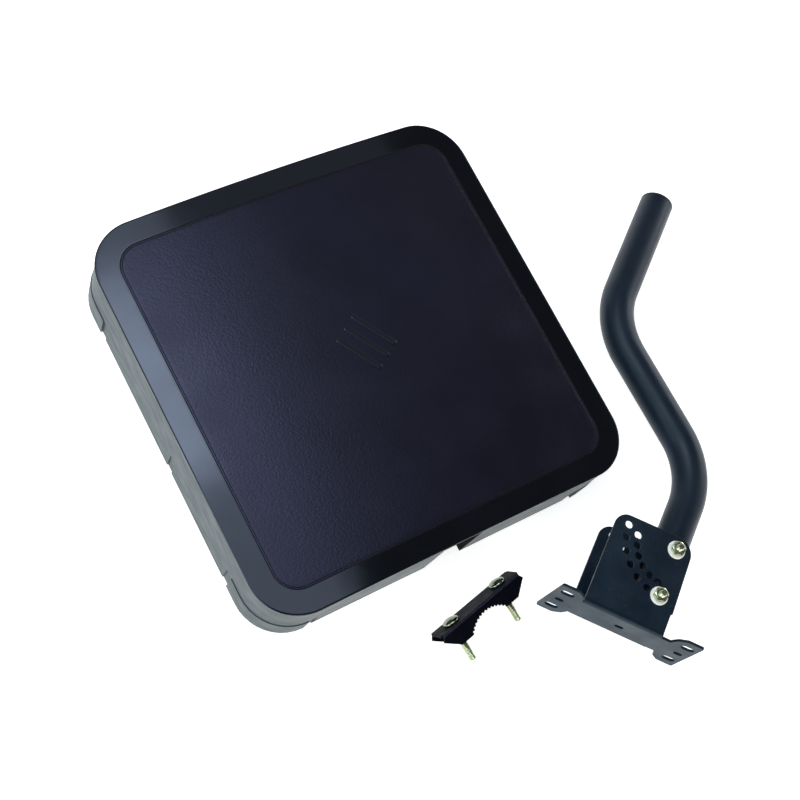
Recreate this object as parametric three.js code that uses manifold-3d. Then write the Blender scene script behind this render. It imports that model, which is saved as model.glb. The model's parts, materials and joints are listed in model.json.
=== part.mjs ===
// Flat-panel television antenna kit, laid out as it comes out of the box: a square housed panel antenna
// with a mast channel in its back, a J-shaped mast mount with a hinged foot, and a toothed mast clamp.
// Millimetres, +Z up. The panel lies on its back. The origin is at the bottom centre of the whole kit.
import * as THREE from 'three';
import { mergeVertices } from 'three/addons/utils/BufferGeometryUtils.js';
import Module from 'manifold-3d';

const wasm = await Module();
wasm.setup();

// ---------------------------------------------------------------- driving dimensions
const GAP = 0.3; // clearance between pieces that touch
const BEYOND = 5; // how far a cutting shape reaches past what it cuts

// panel
const PANEL_HALF = 178;
const PANEL_CORNER = 42;
const SEAM_EDGE = 61.7; // height of the seam at the left and right walls
const SEAM_RISE = 8.9; // how much higher the seam is in the middle
const LID_THICKNESS = 2.5;
const WALL = 3.4; // from the corner guards' face to the inside
const GUARD = { step: 0.8, height: 24, sideStart: 120, endStart: 136 }; // proud band round each lower corner
const GROOVE_HALF = 157.6;
const GROOVE_CORNER = 20;
const GROOVE_WIDTH = 1.8;
const GROOVE_DEPTH = 1;
const LIP = { width: 2, drop: 4 }; // the rim that locates the cover inside the housing
const RABBET = { inset: 2, drop: 1.6 }; // the step in the top of the walls that holds the gasket
const GASKET = { inset: 2.3, width: 0.8, drop: 1.3 };
const BLOCK_FLOOR = 0.5; // where solid blocks inside the housing start, within its floor
const CHANNEL_HALF = 18;
const CHANNEL_END = 10;
const CHANNEL_ROOF = 59;
const CHANNEL_ROOF_PLATE = 2.2;
const CHANNEL_WALL = 4;
const POCKET = { left: -64, front: -128, back: -70, roof: 30, wall: 3 };
const SIDE_NICKS = [-116, -12, 116];
const END_NICKS = [-132, 132];
const NICK = { width: 8, depth: 1.9, height: 24 }; // upright nicks in the foot of the walls
const SCREW_PLACES = [
  [-148, -148], [148, -148], [148, 148], [-148, 148], [-164, 0],
  [164, 0], [-60, 164], [60, 164], [-60, -164], [60, -164],
];
const WELL = { outer: 6.4, bore: 4.6, shelf: 41, top: 44, hole: 2.1 };
const COVER_BOSS = { radius: 4.2, pilot: 2, depth: 13 };
const COVER_SCREW = { head: 3.6, shank: 1.6, headHeight: 2.6, length: 13 };
const CORNER_SIGNS = [[-1, -1], [1, -1], [1, 1], [-1, 1]];
// four posts carry the reflector and the board
const POST = { reach: 100, radius: 5, pin: 2.5, hole: 3.2 };
// the reflector has a notch for the channel and the cable pocket, from left to right and up to top
const REFLECTOR = {
  bottom: 30, thickness: 0.8, halfWidth: 138, halfLength: 150, left: -71, right: 38, top: 18,
};
const BOARD = { bottom: 62.3, thickness: 1.6, halfWidth: 115, halfLength: 130 };
const RADIATOR = { start: 6, end: 104, thickness: 0.4 };
const CLAMP_SPACING = 54;
const CLAMP_BOSS = { y: -30, radius: 9, top: 26, nutSeat: 14 };
const CONNECTOR = {
  x: -46, z: 15, thread: 4.75, bore: 2.8, boreDepth: 9,
  front: -92, shoulder: -65.7, flange: 7, flangeBack: -63.8, barrel: 4.5, back: -57,
  washer: 7.6, washerThickness: 1.2, nutFlats: 12.7, nutHeight: 3,
};
const AMPLIFIER = { low: [-60, -63, 8], high: [-38, -14, 9.6] };
const AMPLIFIER_RIBS = { left: -59, right: -39, places: [-60, -20], halfWidth: 1.5, top: 7.7 };
const SHIELD = { low: [-58, -50, 9.9], high: [-40, -27, 17], sheet: 0.6 };
const FEED_RADIUS = 1.4;
const FEED_ROUTE = [
  [-49, -22, 11.5], [-49, -12, 11.8], [-49, 4, 24], [-38, 20, 46], [-16, 27, 54], [0, 32, 60.5],
];
const JAW = {
  bottom: 40, front: -47, back: -13, arcHeight: 36, arc: 17, arcStart: 0.24, teeth: 11, toothDepth: 1.2,
};

const POST_PLACES = CORNER_SIGNS.map(([x, y]) => [x * POST.reach, y * POST.reach]);

// quarter-inch fasteners
const SHANK = 3.175;
const CLEARANCE = 0.35; // round a shank in its nut or washer
const CLEAR_HOLE = 3.6;
const NUT_FLATS = 11.1;
const NUT_HEIGHT = 5.5;
const WASHER_RADIUS = 8.1;
const WASHER_THICKNESS = 1.4;

// mast mount
const TUBE_RADIUS = 15.875;
const TUBE_WALL = 1.5;
const TUBE_BEND = 75;
const PLATE = 2.5;
const PLATE_INSIDE = 16.2;
const PLATE_OUTSIDE = PLATE_INSIDE + PLATE;
const EAR_HALF = 31;
const FOOT_HALF = 66;
const PIVOT = new THREE.Vector2(23.5, 76.5);
const LOCK_RADIUS = 46.4;
const LOCK_ANGLE = THREE.MathUtils.degToRad(-94.8); // from the pivot to the lock bolt
const HOLE_STEP = THREE.MathUtils.degToRad(15);
const INNER_HOLE_RADIUS = 35.9;
const TUBE_END_BELOW_LOCK = 11;
const TUBE_CORNERS = [new THREE.Vector2(31.2, 166.7), new THREE.Vector2(-91.5, 271.2)];
const TUBE_TOP = new THREE.Vector2(-83, 416.8);
const CAP_THICKNESS = 2.4;
const MOUNT_PLACE = new THREE.Vector2(103.2, -294.8);
const MOUNT_TURN = THREE.MathUtils.degToRad(-49.5);

// clamp
const CLAMP_HALF = 45;
const CLAMP_WEB_HALF = 11;
const CLAMP_DEPTH = 17;
const CLAMP_PLATE = 2;
const CLAMP_ARC = 26.9;
const CLAMP_ARC_HALF = 21.5;
const TOOTH_DEPTH = 1.3;
const CLAMP_BOLT_LENGTH = 38;
const CLAMP_PLACE = new THREE.Vector2(1.1, -223.2);
const CLAMP_TURN = THREE.MathUtils.degToRad(12);
// it rests on the free edge of its lower flange and on the tips of its bolts
const CLAMP_LEAN = Math.atan2(CLAMP_WEB_HALF - SHANK, CLAMP_BOLT_LENGTH - CLAMP_DEPTH);

// ---------------------------------------------------------------- materials
const finish = (color, roughness, metalness) => new THREE.MeshStandardMaterial({ color, roughness, metalness });
const coverPlastic = () => finish(0x1c1d26, 0.35, 0);
const housingPlastic = () => finish(0x74827e, 0.6, 0);
const blackPlastic = () => finish(0x15161a, 0.6, 0);
const rubber = () => finish(0x1a1a1a, 0.9, 0);
const paintedSteel = () => finish(0x232a38, 0.45, 0.3);
const clampSteel = () => finish(0x12131c, 0.45, 0.3);
const zinc = () => finish(0xb9c3a4, 0.35, 0.9);
const nickel = () => finish(0xc6c2b4, 0.3, 1);
const circuitBoard = () => finish(0x1f5a3a, 0.6, 0);
const copper = () => finish(0xb87333, 0.35, 1);
const aluminium = () => finish(0xb4b8bc, 0.4, 1);

// ---------------------------------------------------------------- helpers
function toSolid(geometry) {
  const bare = geometry.clone();
  bare.deleteAttribute('normal');
  bare.deleteAttribute('uv');
  const merged = mergeVertices(bare, 1e-4);
  const vertProperties = Float32Array.from(merged.attributes.position.array);
  const triVerts = Uint32Array.from(merged.index.array);
  return new wasm.Manifold(new wasm.Mesh({ numProp: 3, vertProperties, triVerts }));
}

function toGeometry(solid) {
  const { vertProperties, triVerts } = solid.getMesh();
  const geometry = new THREE.BufferGeometry();
  geometry.setAttribute('position', new THREE.BufferAttribute(vertProperties, 3));
  geometry.setIndex(new THREE.BufferAttribute(triVerts, 1));
  geometry.computeVertexNormals();
  return geometry;
}

const join = (solids) => solids.reduce((sum, solid) => sum.add(solid));
const cut = (solid, tools) => tools.reduce((left, tool) => left.subtract(tool), solid);

function addPiece(group, name, shape, material) {
  const geometry = shape.isBufferGeometry ? shape : toGeometry(shape);
  const mesh = new THREE.Mesh(geometry, material);
  mesh.name = name;
  group.add(mesh);
  return mesh;
}

// a plate or prism between two heights, from an outline in the XY plane; an arc in the outline gets
// twice curveSegments straight sides
function prism(shape, low, high, curveSegments = 5) {
  const settings = { depth: high - low, bevelEnabled: false, curveSegments };
  return new THREE.ExtrudeGeometry(shape, settings).translate(0, 0, low);
}

// the same with the outline in the XZ plane, between two places along Y
function prismAlongY(shape, low, high, curveSegments = 5) {
  return prism(shape, -high, -low, curveSegments).rotateX(Math.PI / 2);
}

function box(low, high) {
  const size = high.map((value, axis) => value - low[axis]);
  const centre = high.map((value, axis) => (value + low[axis]) / 2);
  return new THREE.BoxGeometry(...size).translate(...centre);
}

// an upright round bar; segments sets how round it is
function bar(radius, x, y, low, high, segments = 16) {
  const cylinder = new THREE.CylinderGeometry(radius, radius, high - low, segments);
  return cylinder.rotateX(Math.PI / 2).translate(x, y, (low + high) / 2);
}

function barAlongY(radius, x, z, low, high, segments = 20) {
  return new THREE.CylinderGeometry(radius, radius, high - low, segments).translate(x, (low + high) / 2, z);
}

// a hexagonal bar, measured across its flats
function hexBar(flats, x, y, low, high) {
  return bar(flats / Math.sqrt(3), x, y, low, high, 6);
}

function roundedSquare(half, radius) {
  const inner = half - radius;
  const shape = new THREE.Shape();
  shape.absarc(inner, -inner, radius, -Math.PI / 2, 0);
  shape.absarc(inner, inner, radius, 0, Math.PI / 2);
  shape.absarc(-inner, inner, radius, Math.PI / 2, Math.PI);
  shape.absarc(-inner, -inner, radius, Math.PI, 1.5 * Math.PI);
  shape.closePath();
  return shape;
}

// draws straight lines with a round bend of the given radius at each inner corner
function filletedLine(path, points, radii) {
  path.moveTo(points[0].x, points[0].y);
  for (let i = 1; i < points.length - 1; i += 1) {
    const back = points[i - 1].clone().sub(points[i]).normalize();
    const ahead = points[i + 1].clone().sub(points[i]).normalize();
    const halfAngle = Math.acos(THREE.MathUtils.clamp(back.dot(ahead), -1, 1)) / 2;
    const reach = radii[i] / Math.tan(halfAngle);
    const start = points[i].clone().addScaledVector(back, reach);
    const end = points[i].clone().addScaledVector(ahead, reach);
    const middle = back.clone().add(ahead).normalize();
    const centre = points[i].clone().addScaledVector(middle, radii[i] / Math.sin(halfAngle));
    const from = start.clone().sub(centre).angle();
    const to = end.clone().sub(centre).angle();
    const clockwise = back.cross(ahead) > 0;
    path.lineTo(start.x, start.y);
    path.absarc(centre.x, centre.y, radii[i], from, to, clockwise);
  }
  const last = points[points.length - 1];
  path.lineTo(last.x, last.y);
  return path;
}

// a closed outline from corners [x, y, radius]; it starts in the middle of its last side
function filletedShape(corners) {
  const points = corners.map(([x, y]) => new THREE.Vector2(x, y));
  const radii = corners.map((corner) => corner[2]);
  const start = points[0].clone().lerp(points[points.length - 1], 0.5);
  const shape = new THREE.Shape();
  filletedLine(shape, [start, ...points, start], [0, ...radii, 0]);
  return shape;
}

function slotHole(x, y, length, width) {
  const reach = (length - width) / 2;
  const hole = new THREE.Path();
  hole.absarc(x + reach, y, width / 2, -Math.PI / 2, Math.PI / 2);
  hole.absarc(x - reach, y, width / 2, Math.PI / 2, 1.5 * Math.PI);
  hole.closePath();
  return hole;
}

function roundHole(x, y, radius) {
  const hole = new THREE.Path();
  hole.absarc(x, y, radius, 0, 2 * Math.PI);
  return hole;
}

// points of a saw-toothed arc about a centre, from one angle to another
function toothedArc(centreX, centreY, radius, from, to, teeth, depth) {
  const points = [];
  for (let i = 0; i <= 2 * teeth; i += 1) {
    const angle = from + ((to - from) * i) / (2 * teeth);
    const reach = i % 2 === 0 ? radius : radius + depth;
    points.push([centreX + reach * Math.cos(angle), centreY + reach * Math.sin(angle)]);
  }
  return points;
}

function polygon(points) {
  return new THREE.Shape(points.map(([x, y]) => new THREE.Vector2(x, y)));
}

// a planar outline followed as a path in space, for bent tubes
class PlanarPath extends THREE.Curve {
  constructor(path) {
    super();
    this.path = path;
  }

  getPoint(t, target = new THREE.Vector3()) {
    const point = this.path.getPoint(t);
    return target.set(point.x, point.y, 0);
  }
}

function sweptRound(path, radius, sides, steps) {
  const section = new THREE.Shape();
  section.absarc(0, 0, radius, 0, 2 * Math.PI);
  const settings = { extrudePath: path, steps, bevelEnabled: false, curveSegments: sides / 2 };
  return new THREE.ExtrudeGeometry(section, settings);
}

// ---------------------------------------------------------------- panel
const seamHeight = (x) => SEAM_EDGE + SEAM_RISE * (1 - (x / PANEL_HALF) ** 2);

// everything between two heights that both follow the crown of the front
function crownSlab(lowOffset, highOffset) {
  const reach = PANEL_HALF + BEYOND;
  const steps = 14;
  const points = [];
  for (let i = 0; i <= steps; i += 1) {
    const x = -reach + (2 * reach * i) / steps;
    points.push([x, seamHeight(x) + lowOffset]);
  }
  for (let i = steps; i >= 0; i -= 1) {
    const x = -reach + (2 * reach * i) / steps;
    points.push([x, seamHeight(x) + highOffset]);
  }
  return toSolid(prismAlongY(polygon(points), -reach, reach));
}

// a square prism inset from the panel's outside, taller than the panel
const TALL = SEAM_EDGE + SEAM_RISE + 4 * BEYOND;
const insetPrism = (inset, low = -BEYOND, high = TALL) => (
  toSolid(prism(roundedSquare(PANEL_HALF - inset, PANEL_CORNER - inset), low, high))
);
const groovePrism = (inset) => (
  toSolid(prism(roundedSquare(GROOVE_HALF - inset, GROOVE_CORNER - inset), -BEYOND, TALL))
);

function frontCover() {
  const plate = insetPrism(0).intersect(crownSlab(GAP / 2, LID_THICKNESS));
  const lipOuter = WALL + GAP;
  const lipRing = insetPrism(lipOuter).subtract(insetPrism(lipOuter + LIP.width));
  const grooveRing = groovePrism(0).subtract(groovePrism(GROOVE_WIDTH));
  const insideLid = LID_THICKNESS / 5;
  const lip = lipRing.intersect(crownSlab(-LIP.drop, insideLid));
  const groove = grooveRing.intersect(crownSlab(LID_THICKNESS - GROOVE_DEPTH, LID_THICKNESS + BEYOND));
  const underLid = crownSlab(-TALL, insideLid);
  const { radius, pilot, depth } = COVER_BOSS;
  const bosses = SCREW_PLACES.map(([x, y]) => (
    toSolid(bar(radius, x, y, WELL.top + GAP, TALL, 12)).intersect(underLid)
  ));
  const pilots = SCREW_PLACES.map(([x, y]) => toSolid(bar(pilot, x, y, WELL.top, WELL.top + depth, 10)));
  return cut(join([plate, lip, ...bosses]), [groove, ...pilots]);
}

function rearHousing() {
  const skin = insetPrism(GUARD.step, 0);
  const guardBand = insetPrism(0, 0, GUARD.height);
  const guards = CORNER_SIGNS.map(([x, y]) => guardBand.intersect(toSolid(cornerBlock(x, y))));
  const rabbet = insetPrism(RABBET.inset).intersect(crownSlab(-RABBET.drop, TALL));
  const shell = cut(join([skin, ...guards]), [insetPrism(WALL, WALL), rabbet]);

  const channelOuter = CHANNEL_HALF + CHANNEL_WALL;
  const channelBlock = box(
    [-channelOuter, 1 - PANEL_HALF, BLOCK_FLOOR],
    [channelOuter, CHANNEL_END + CHANNEL_WALL, CHANNEL_ROOF + CHANNEL_ROOF_PLATE],
  );
  const pocketBlock = box(
    [POCKET.left - POCKET.wall, POCKET.front - POCKET.wall, BLOCK_FLOOR],
    [-CHANNEL_HALF - 1, POCKET.back + CHANNEL_WALL, POCKET.roof + POCKET.wall],
  );
  const wells = SCREW_PLACES.map(([x, y]) => bar(WELL.outer, x, y, BLOCK_FLOOR, WELL.top, 12));
  const bossPlaces = [-1, 1].map((side) => [(side * CLAMP_SPACING) / 2, CLAMP_BOSS.y]);
  const clampBosses = bossPlaces.map(([x, y]) => bar(CLAMP_BOSS.radius, x, y, BLOCK_FLOOR, CLAMP_BOSS.top, 20));
  const posts = POST_PLACES.map(([x, y]) => bar(POST.radius, x, y, BLOCK_FLOOR, REFLECTOR.bottom - GAP));
  const pins = POST_PLACES.map(([x, y]) => bar(POST.pin, x, y, 1, BOARD.bottom, 12));
  const { left, right, places, halfWidth, top } = AMPLIFIER_RIBS;
  const ribs = places.map((y) => box([left, y - halfWidth, 1], [right, y + halfWidth, top]));
  const added = [channelBlock, pocketBlock, ...wells, ...clampBosses, ...posts, ...pins, ...ribs];

  const channel = box(
    [-CHANNEL_HALF, -PANEL_HALF - BEYOND, -BEYOND],
    [CHANNEL_HALF, CHANNEL_END, CHANNEL_ROOF],
  );
  const pocket = box([POCKET.left, POCKET.front, -BEYOND], [-CHANNEL_HALF + 1, POCKET.back, POCKET.roof]);
  const wellBores = SCREW_PLACES.map(([x, y]) => bar(WELL.bore, x, y, -BEYOND, WELL.shelf, 12));
  const wellHoles = SCREW_PLACES.map(([x, y]) => (
    bar(WELL.hole, x, y, WELL.shelf - BEYOND, WELL.top + BEYOND, 10)
  ));
  const bossHoles = bossPlaces.map(([x, y]) => bar(CLEAR_HOLE, x, y, -BEYOND, CLAMP_BOSS.top + BEYOND));
  const nutPockets = bossPlaces.map(([x, y]) => (
    hexBar(NUT_FLATS + 0.8, x, y, CLAMP_BOSS.nutSeat, CLAMP_BOSS.top + BEYOND)
  ));
  const connectorHole = barAlongY(
    CONNECTOR.thread + CLEARANCE, CONNECTOR.x, CONNECTOR.z, POCKET.back - BEYOND, POCKET.back + 2 * BEYOND,
  );
  const sideNicks = SIDE_NICKS.flatMap((y) => [-1, 1].map((side) => nickTool(side * PANEL_HALF, y, 0)));
  const endNicks = END_NICKS.flatMap((x) => [-1, 1].map((side) => nickTool(x, side * PANEL_HALF, 1)));
  const removed = [
    channel, pocket, ...wellBores, ...wellHoles, ...bossHoles, ...nutPockets, connectorHole,
    ...sideNicks, ...endNicks,
  ];
  const whole = join([shell, ...added.map(toSolid)]).intersect(crownSlab(-TALL, -GAP / 2));
  return cut(whole, removed.map(toSolid));
}

// the part of the panel that one corner guard covers
function cornerBlock(signX, signY) {
  const inner = [signX * GUARD.endStart, signY * GUARD.sideStart];
  const outer = [signX * (PANEL_HALF + BEYOND), signY * (PANEL_HALF + BEYOND)];
  const low = inner.map((value, axis) => Math.min(value, outer[axis]));
  const high = inner.map((value, axis) => Math.max(value, outer[axis]));
  return box([...low, -BEYOND], [...high, GUARD.height + BEYOND]);
}

// an upright nick in the foot of a wall; across is 0 for the side walls and 1 for the end walls
function nickTool(x, y, across) {
  const reach = across === 0 ? [NICK.depth, NICK.width / 2] : [NICK.width / 2, NICK.depth];
  return box([x - reach[0], y - reach[1], -BEYOND], [x + reach[0], y + reach[1], NICK.height]);
}

function rimGasket() {
  const ring = insetPrism(GASKET.inset).subtract(insetPrism(GASKET.inset + GASKET.width));
  return ring.intersect(crownSlab(-GASKET.drop, -GAP / 2));
}

function coverScrew() {
  const { head, shank, headHeight, length } = COVER_SCREW;
  const points = [
    [0, -headHeight], [head * 0.7, -headHeight], [head, -headHeight * 0.6], [head, 0],
    [shank, 0], [shank, length - 2], [0.4, length], [0, length],
  ];
  const profile = points.map(([x, y]) => new THREE.Vector2(x, y));
  return new THREE.LatheGeometry(profile, 10).rotateX(Math.PI / 2);
}

function hexNut(flats, bore, height, segments = 20) {
  return toSolid(hexBar(flats, 0, 0, 0, height)).subtract(toSolid(bar(bore, 0, 0, -1, height + 1, segments)));
}

function washer(bore, radius, thickness) {
  const shape = new THREE.Shape();
  shape.absarc(0, 0, radius, 0, 2 * Math.PI);
  shape.holes.push(roundHole(0, 0, bore));
  return prism(shape, 0, thickness, 12);
}

function reflectorSheet() {
  const { bottom, thickness, halfWidth, halfLength, left, right, top } = REFLECTOR;
  const shape = polygon([
    [-halfWidth, -halfLength], [left, -halfLength], [left, top], [right, top],
    [right, -halfLength], [halfWidth, -halfLength], [halfWidth, halfLength], [-halfWidth, halfLength],
  ]);
  POST_PLACES.forEach(([x, y]) => shape.holes.push(roundHole(x, y, POST.hole)));
  return prism(shape, bottom, bottom + thickness);
}

function shieldCan() {
  const { low, high, sheet } = SHIELD;
  const inside = box(
    [low[0] + sheet, low[1] + sheet, low[2] - BEYOND],
    [high[0] - sheet, high[1] - sheet, high[2] - sheet],
  );
  return toSolid(box(low, high)).subtract(toSolid(inside));
}

function coaxConnector() {
  const { front, back, thread, bore, boreDepth, shoulder, flange, flangeBack, barrel } = CONNECTOR;
  const profile = [
    [0, front + boreDepth], [bore, front + boreDepth], [bore, front],
    [thread - 0.6, front], [thread, front + 0.8], [thread, shoulder],
    [flange, shoulder], [flange, flangeBack], [barrel, flangeBack], [barrel, back], [0, back],
  ];
  const geometry = new THREE.LatheGeometry(profile.map(([x, y]) => new THREE.Vector2(x, y)), 18);
  return geometry.translate(CONNECTOR.x, 0, CONNECTOR.z);
}

function feedLead() {
  const curve = new THREE.CatmullRomCurve3(FEED_ROUTE.map((point) => new THREE.Vector3(...point)));
  return sweptRound(curve, FEED_RADIUS, 8, 18);
}

// the jaw in the roof of the channel that bites on the mast
function saddleJaw() {
  const { bottom, front, back, arcHeight, arc, arcStart, toothDepth } = JAW;
  const teeth = toothedArc(0, arcHeight, arc, Math.PI - arcStart, arcStart, JAW.teeth, toothDepth);
  const half = CHANNEL_HALF - 2 * GAP;
  const top = CHANNEL_ROOF - GAP;
  const outline = [[half, bottom], [half, top], [-half, top], [-half, bottom], ...teeth];
  return prismAlongY(polygon(outline), front, back);
}

function buildPanel() {
  const panel = new THREE.Group();
  addPiece(panel, 'front_cover', frontCover(), coverPlastic());
  addPiece(panel, 'rear_housing', rearHousing(), housingPlastic());
  addPiece(panel, 'rim_gasket', rimGasket(), rubber());
  SCREW_PLACES.forEach(([x, y], i) => {
    const screw = addPiece(panel, `cover_screw_${i + 1}`, coverScrew(), zinc());
    screw.position.set(x, y, WELL.shelf - GAP);
  });
  const { halfWidth, halfLength } = BOARD;
  const boardLow = BOARD.bottom + GAP;
  const boardHigh = boardLow + BOARD.thickness;
  const board = box([-halfWidth, -halfLength, boardLow], [halfWidth, halfLength, boardHigh]);
  addPiece(panel, 'element_board', board, circuitBoard());
  [['radiator_left', -1], ['radiator_right', 1]].forEach(([name, side]) => {
    const { start, end, thickness } = RADIATOR;
    const fan = [[start, -start], [end, -end], [end, end], [start, start]].map(([x, y]) => [x * side, y]);
    const low = boardHigh + GAP;
    addPiece(panel, name, prism(polygon(fan), low, low + thickness), copper());
  });
  addPiece(panel, 'reflector', reflectorSheet(), aluminium());
  addPiece(panel, 'amplifier_board', box(AMPLIFIER.low, AMPLIFIER.high), circuitBoard());
  addPiece(panel, 'shield_can', shieldCan(), aluminium());
  addPiece(panel, 'coax_connector', coaxConnector(), nickel());
  const connectorBore = CONNECTOR.thread + CLEARANCE;
  const connectorWasher = washer(connectorBore, CONNECTOR.washer, CONNECTOR.washerThickness);
  const ring = addPiece(panel, 'connector_washer', connectorWasher, nickel());
  ring.rotation.x = Math.PI / 2;
  ring.position.set(CONNECTOR.x, POCKET.back - GAP, CONNECTOR.z);
  const connectorNut = hexNut(CONNECTOR.nutFlats, connectorBore, CONNECTOR.nutHeight);
  const nutPiece = addPiece(panel, 'connector_nut', connectorNut, nickel());
  nutPiece.rotation.x = Math.PI / 2;
  nutPiece.position.set(CONNECTOR.x, POCKET.back - 2 * GAP - CONNECTOR.washerThickness, CONNECTOR.z);
  addPiece(panel, 'feed_lead', feedLead(), blackPlastic());
  addPiece(panel, 'saddle_jaw', saddleJaw(), blackPlastic());
  [['captive_nut_left', -1], ['captive_nut_right', 1]].forEach(([name, side]) => {
    const nut = addPiece(panel, name, hexNut(NUT_FLATS, SHANK + CLEARANCE, NUT_HEIGHT), zinc());
    nut.position.set((side * CLAMP_SPACING) / 2, CLAMP_BOSS.y, CLAMP_BOSS.nutSeat + GAP);
  });
  return panel;
}

// ---------------------------------------------------------------- mast mount
// its own frame: X along the foot, Y up the mast, Z across, with the foot's inner face at Y = 0
const aboutPivot = (radius, angle) => (
  new THREE.Vector2(Math.cos(angle), Math.sin(angle)).multiplyScalar(radius).add(PIVOT)
);
const LOCK = aboutPivot(LOCK_RADIUS, LOCK_ANGLE);

function sidePlateShape() {
  const corners = [
    [-41.3, -PLATE, 0.5], [33, -PLATE, 0.5], [34.6, 20, 0.5], [36, 20, 0.5], [39.2, 90, 15], [-34.5, 88.5, 12],
  ];
  const shape = filletedShape(corners);
  shape.holes.push(roundHole(PIVOT.x, PIVOT.y, CLEAR_HOLE));
  for (let i = 0; i <= 6; i += 1) {
    const outer = aboutPivot(LOCK_RADIUS, LOCK_ANGLE - i * HOLE_STEP);
    shape.holes.push(roundHole(outer.x, outer.y, CLEAR_HOLE));
  }
  for (let i = 0; i < 6; i += 1) {
    const inner = aboutPivot(INNER_HOLE_RADIUS, LOCK_ANGLE - (i + 0.5) * HOLE_STEP);
    shape.holes.push(roundHole(inner.x, inner.y, CLEAR_HOLE));
  }
  return shape;
}

function footShape() {
  const neck = PLATE_OUTSIDE;
  const quarter = [[42, neck, 3], [44.5, 25, 3], [51, EAR_HALF, 3], [FOOT_HALF, EAR_HALF, 1.5]];
  const mirror = (signX, signY) => quarter.map(([x, y, r]) => [x * signX, y * signY, r]);
  const corners = [
    ...mirror(1, -1),
    ...mirror(1, 1).reverse(),
    ...mirror(-1, 1),
    ...mirror(-1, -1).reverse(),
  ];
  const shape = filletedShape(corners);
  [-1, 1].forEach((side) => {
    shape.holes.push(slotHole(side * 56.5, 18, 12, 7.6));
    shape.holes.push(slotHole(side * 56.5, -18, 12, 7.6));
    shape.holes.push(slotHole(side * 56.5, 0, 8, 5));
  });
  shape.holes.push(slotHole(0, 0, 8.5, 4.5));
  return shape;
}

function footBracket() {
  const front = toSolid(prism(sidePlateShape(), PLATE_INSIDE, PLATE_OUTSIDE, 6));
  const rear = toSolid(prism(sidePlateShape(), -PLATE_OUTSIDE, -PLATE_INSIDE, 6));
  const foot = toSolid(prismAlongY(footShape(), -PLATE, 0, 3));
  return join([foot, front, rear]);
}

function tubePath(extra) {
  const along = LOCK.clone().sub(PIVOT).normalize();
  const low = LOCK.clone().addScaledVector(along, TUBE_END_BELOW_LOCK + extra);
  const up = TUBE_TOP.clone().sub(TUBE_CORNERS[1]).normalize();
  const high = TUBE_TOP.clone().addScaledVector(up, extra);
  const path = filletedLine(new THREE.Path(), [low, ...TUBE_CORNERS, high], [0, TUBE_BEND, TUBE_BEND, 0]);
  return new PlanarPath(path);
}

function mastTube() {
  const outer = toSolid(sweptRound(tubePath(0), TUBE_RADIUS, 20, 34));
  const bore = toSolid(sweptRound(tubePath(2), TUBE_RADIUS - TUBE_WALL, 12, 20));
  const holes = [PIVOT, LOCK].map(({ x, y }) => toSolid(bar(CLEAR_HOLE, x, y, -20, 20)));
  return cut(outer, [bore, ...holes]);
}

function mastEndCap() {
  const plug = TUBE_RADIUS - TUBE_WALL - 0.9;
  const points = [[0, -12], [plug, -12], [plug, GAP], [TUBE_RADIUS, GAP], [TUBE_RADIUS, CAP_THICKNESS - 0.6]];
  points.push([TUBE_RADIUS - 0.6, CAP_THICKNESS], [0, CAP_THICKNESS]);
  return new THREE.LatheGeometry(points.map(([x, y]) => new THREE.Vector2(x, y)), 28);
}

// a hexagon bolt along Z with its head below Z = 0
function hexBolt(length) {
  const head = toSolid(hexBar(NUT_FLATS, 0, 0, -4.2, 0));
  return head.add(toSolid(bar(SHANK, 0, 0, -1, length, 20)));
}

function addBoltSet(group, prefix, place) {
  const washerLow = PLATE_OUTSIDE + GAP;
  const nutLow = washerLow + WASHER_THICKNESS + GAP;
  const bolt = addPiece(group, `${prefix}_bolt`, hexBolt(2 * PLATE_OUTSIDE + 11.5), zinc());
  bolt.position.set(place.x, place.y, -PLATE_OUTSIDE - GAP);
  const washerShape = washer(SHANK + CLEARANCE, WASHER_RADIUS, WASHER_THICKNESS);
  const ring = addPiece(group, `${prefix}_washer`, washerShape, zinc());
  ring.position.set(place.x, place.y, washerLow);
  const nut = addPiece(group, `${prefix}_nut`, hexNut(NUT_FLATS, SHANK + CLEARANCE, NUT_HEIGHT), zinc());
  nut.position.set(place.x, place.y, nutLow);
  nut.rotation.z = 0.3;
}

function buildMastMount() {
  const mount = new THREE.Group();
  addPiece(mount, 'foot_bracket', footBracket(), paintedSteel());
  addPiece(mount, 'mast_tube', mastTube(), paintedSteel());
  const up = TUBE_TOP.clone().sub(TUBE_CORNERS[1]);
  const cap = addPiece(mount, 'mast_end_cap', mastEndCap(), blackPlastic());
  cap.position.set(TUBE_TOP.x, TUBE_TOP.y, 0);
  cap.rotation.z = up.angle() - Math.PI / 2;
  addBoltSet(mount, 'pivot', PIVOT);
  addBoltSet(mount, 'lock', LOCK);

  // it lies on the lower edges of its ears and on the rim of the end cap
  const reach = TUBE_TOP.y + CAP_THICKNESS;
  const tilt = Math.atan2(EAR_HALF - TUBE_RADIUS, reach);
  mount.rotation.x = -tilt;
  const turned = new THREE.Group();
  turned.add(mount);
  turned.rotation.z = MOUNT_TURN;
  turned.position.set(MOUNT_PLACE.x, MOUNT_PLACE.y, EAR_HALF * Math.cos(tilt));
  return turned;
}

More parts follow.
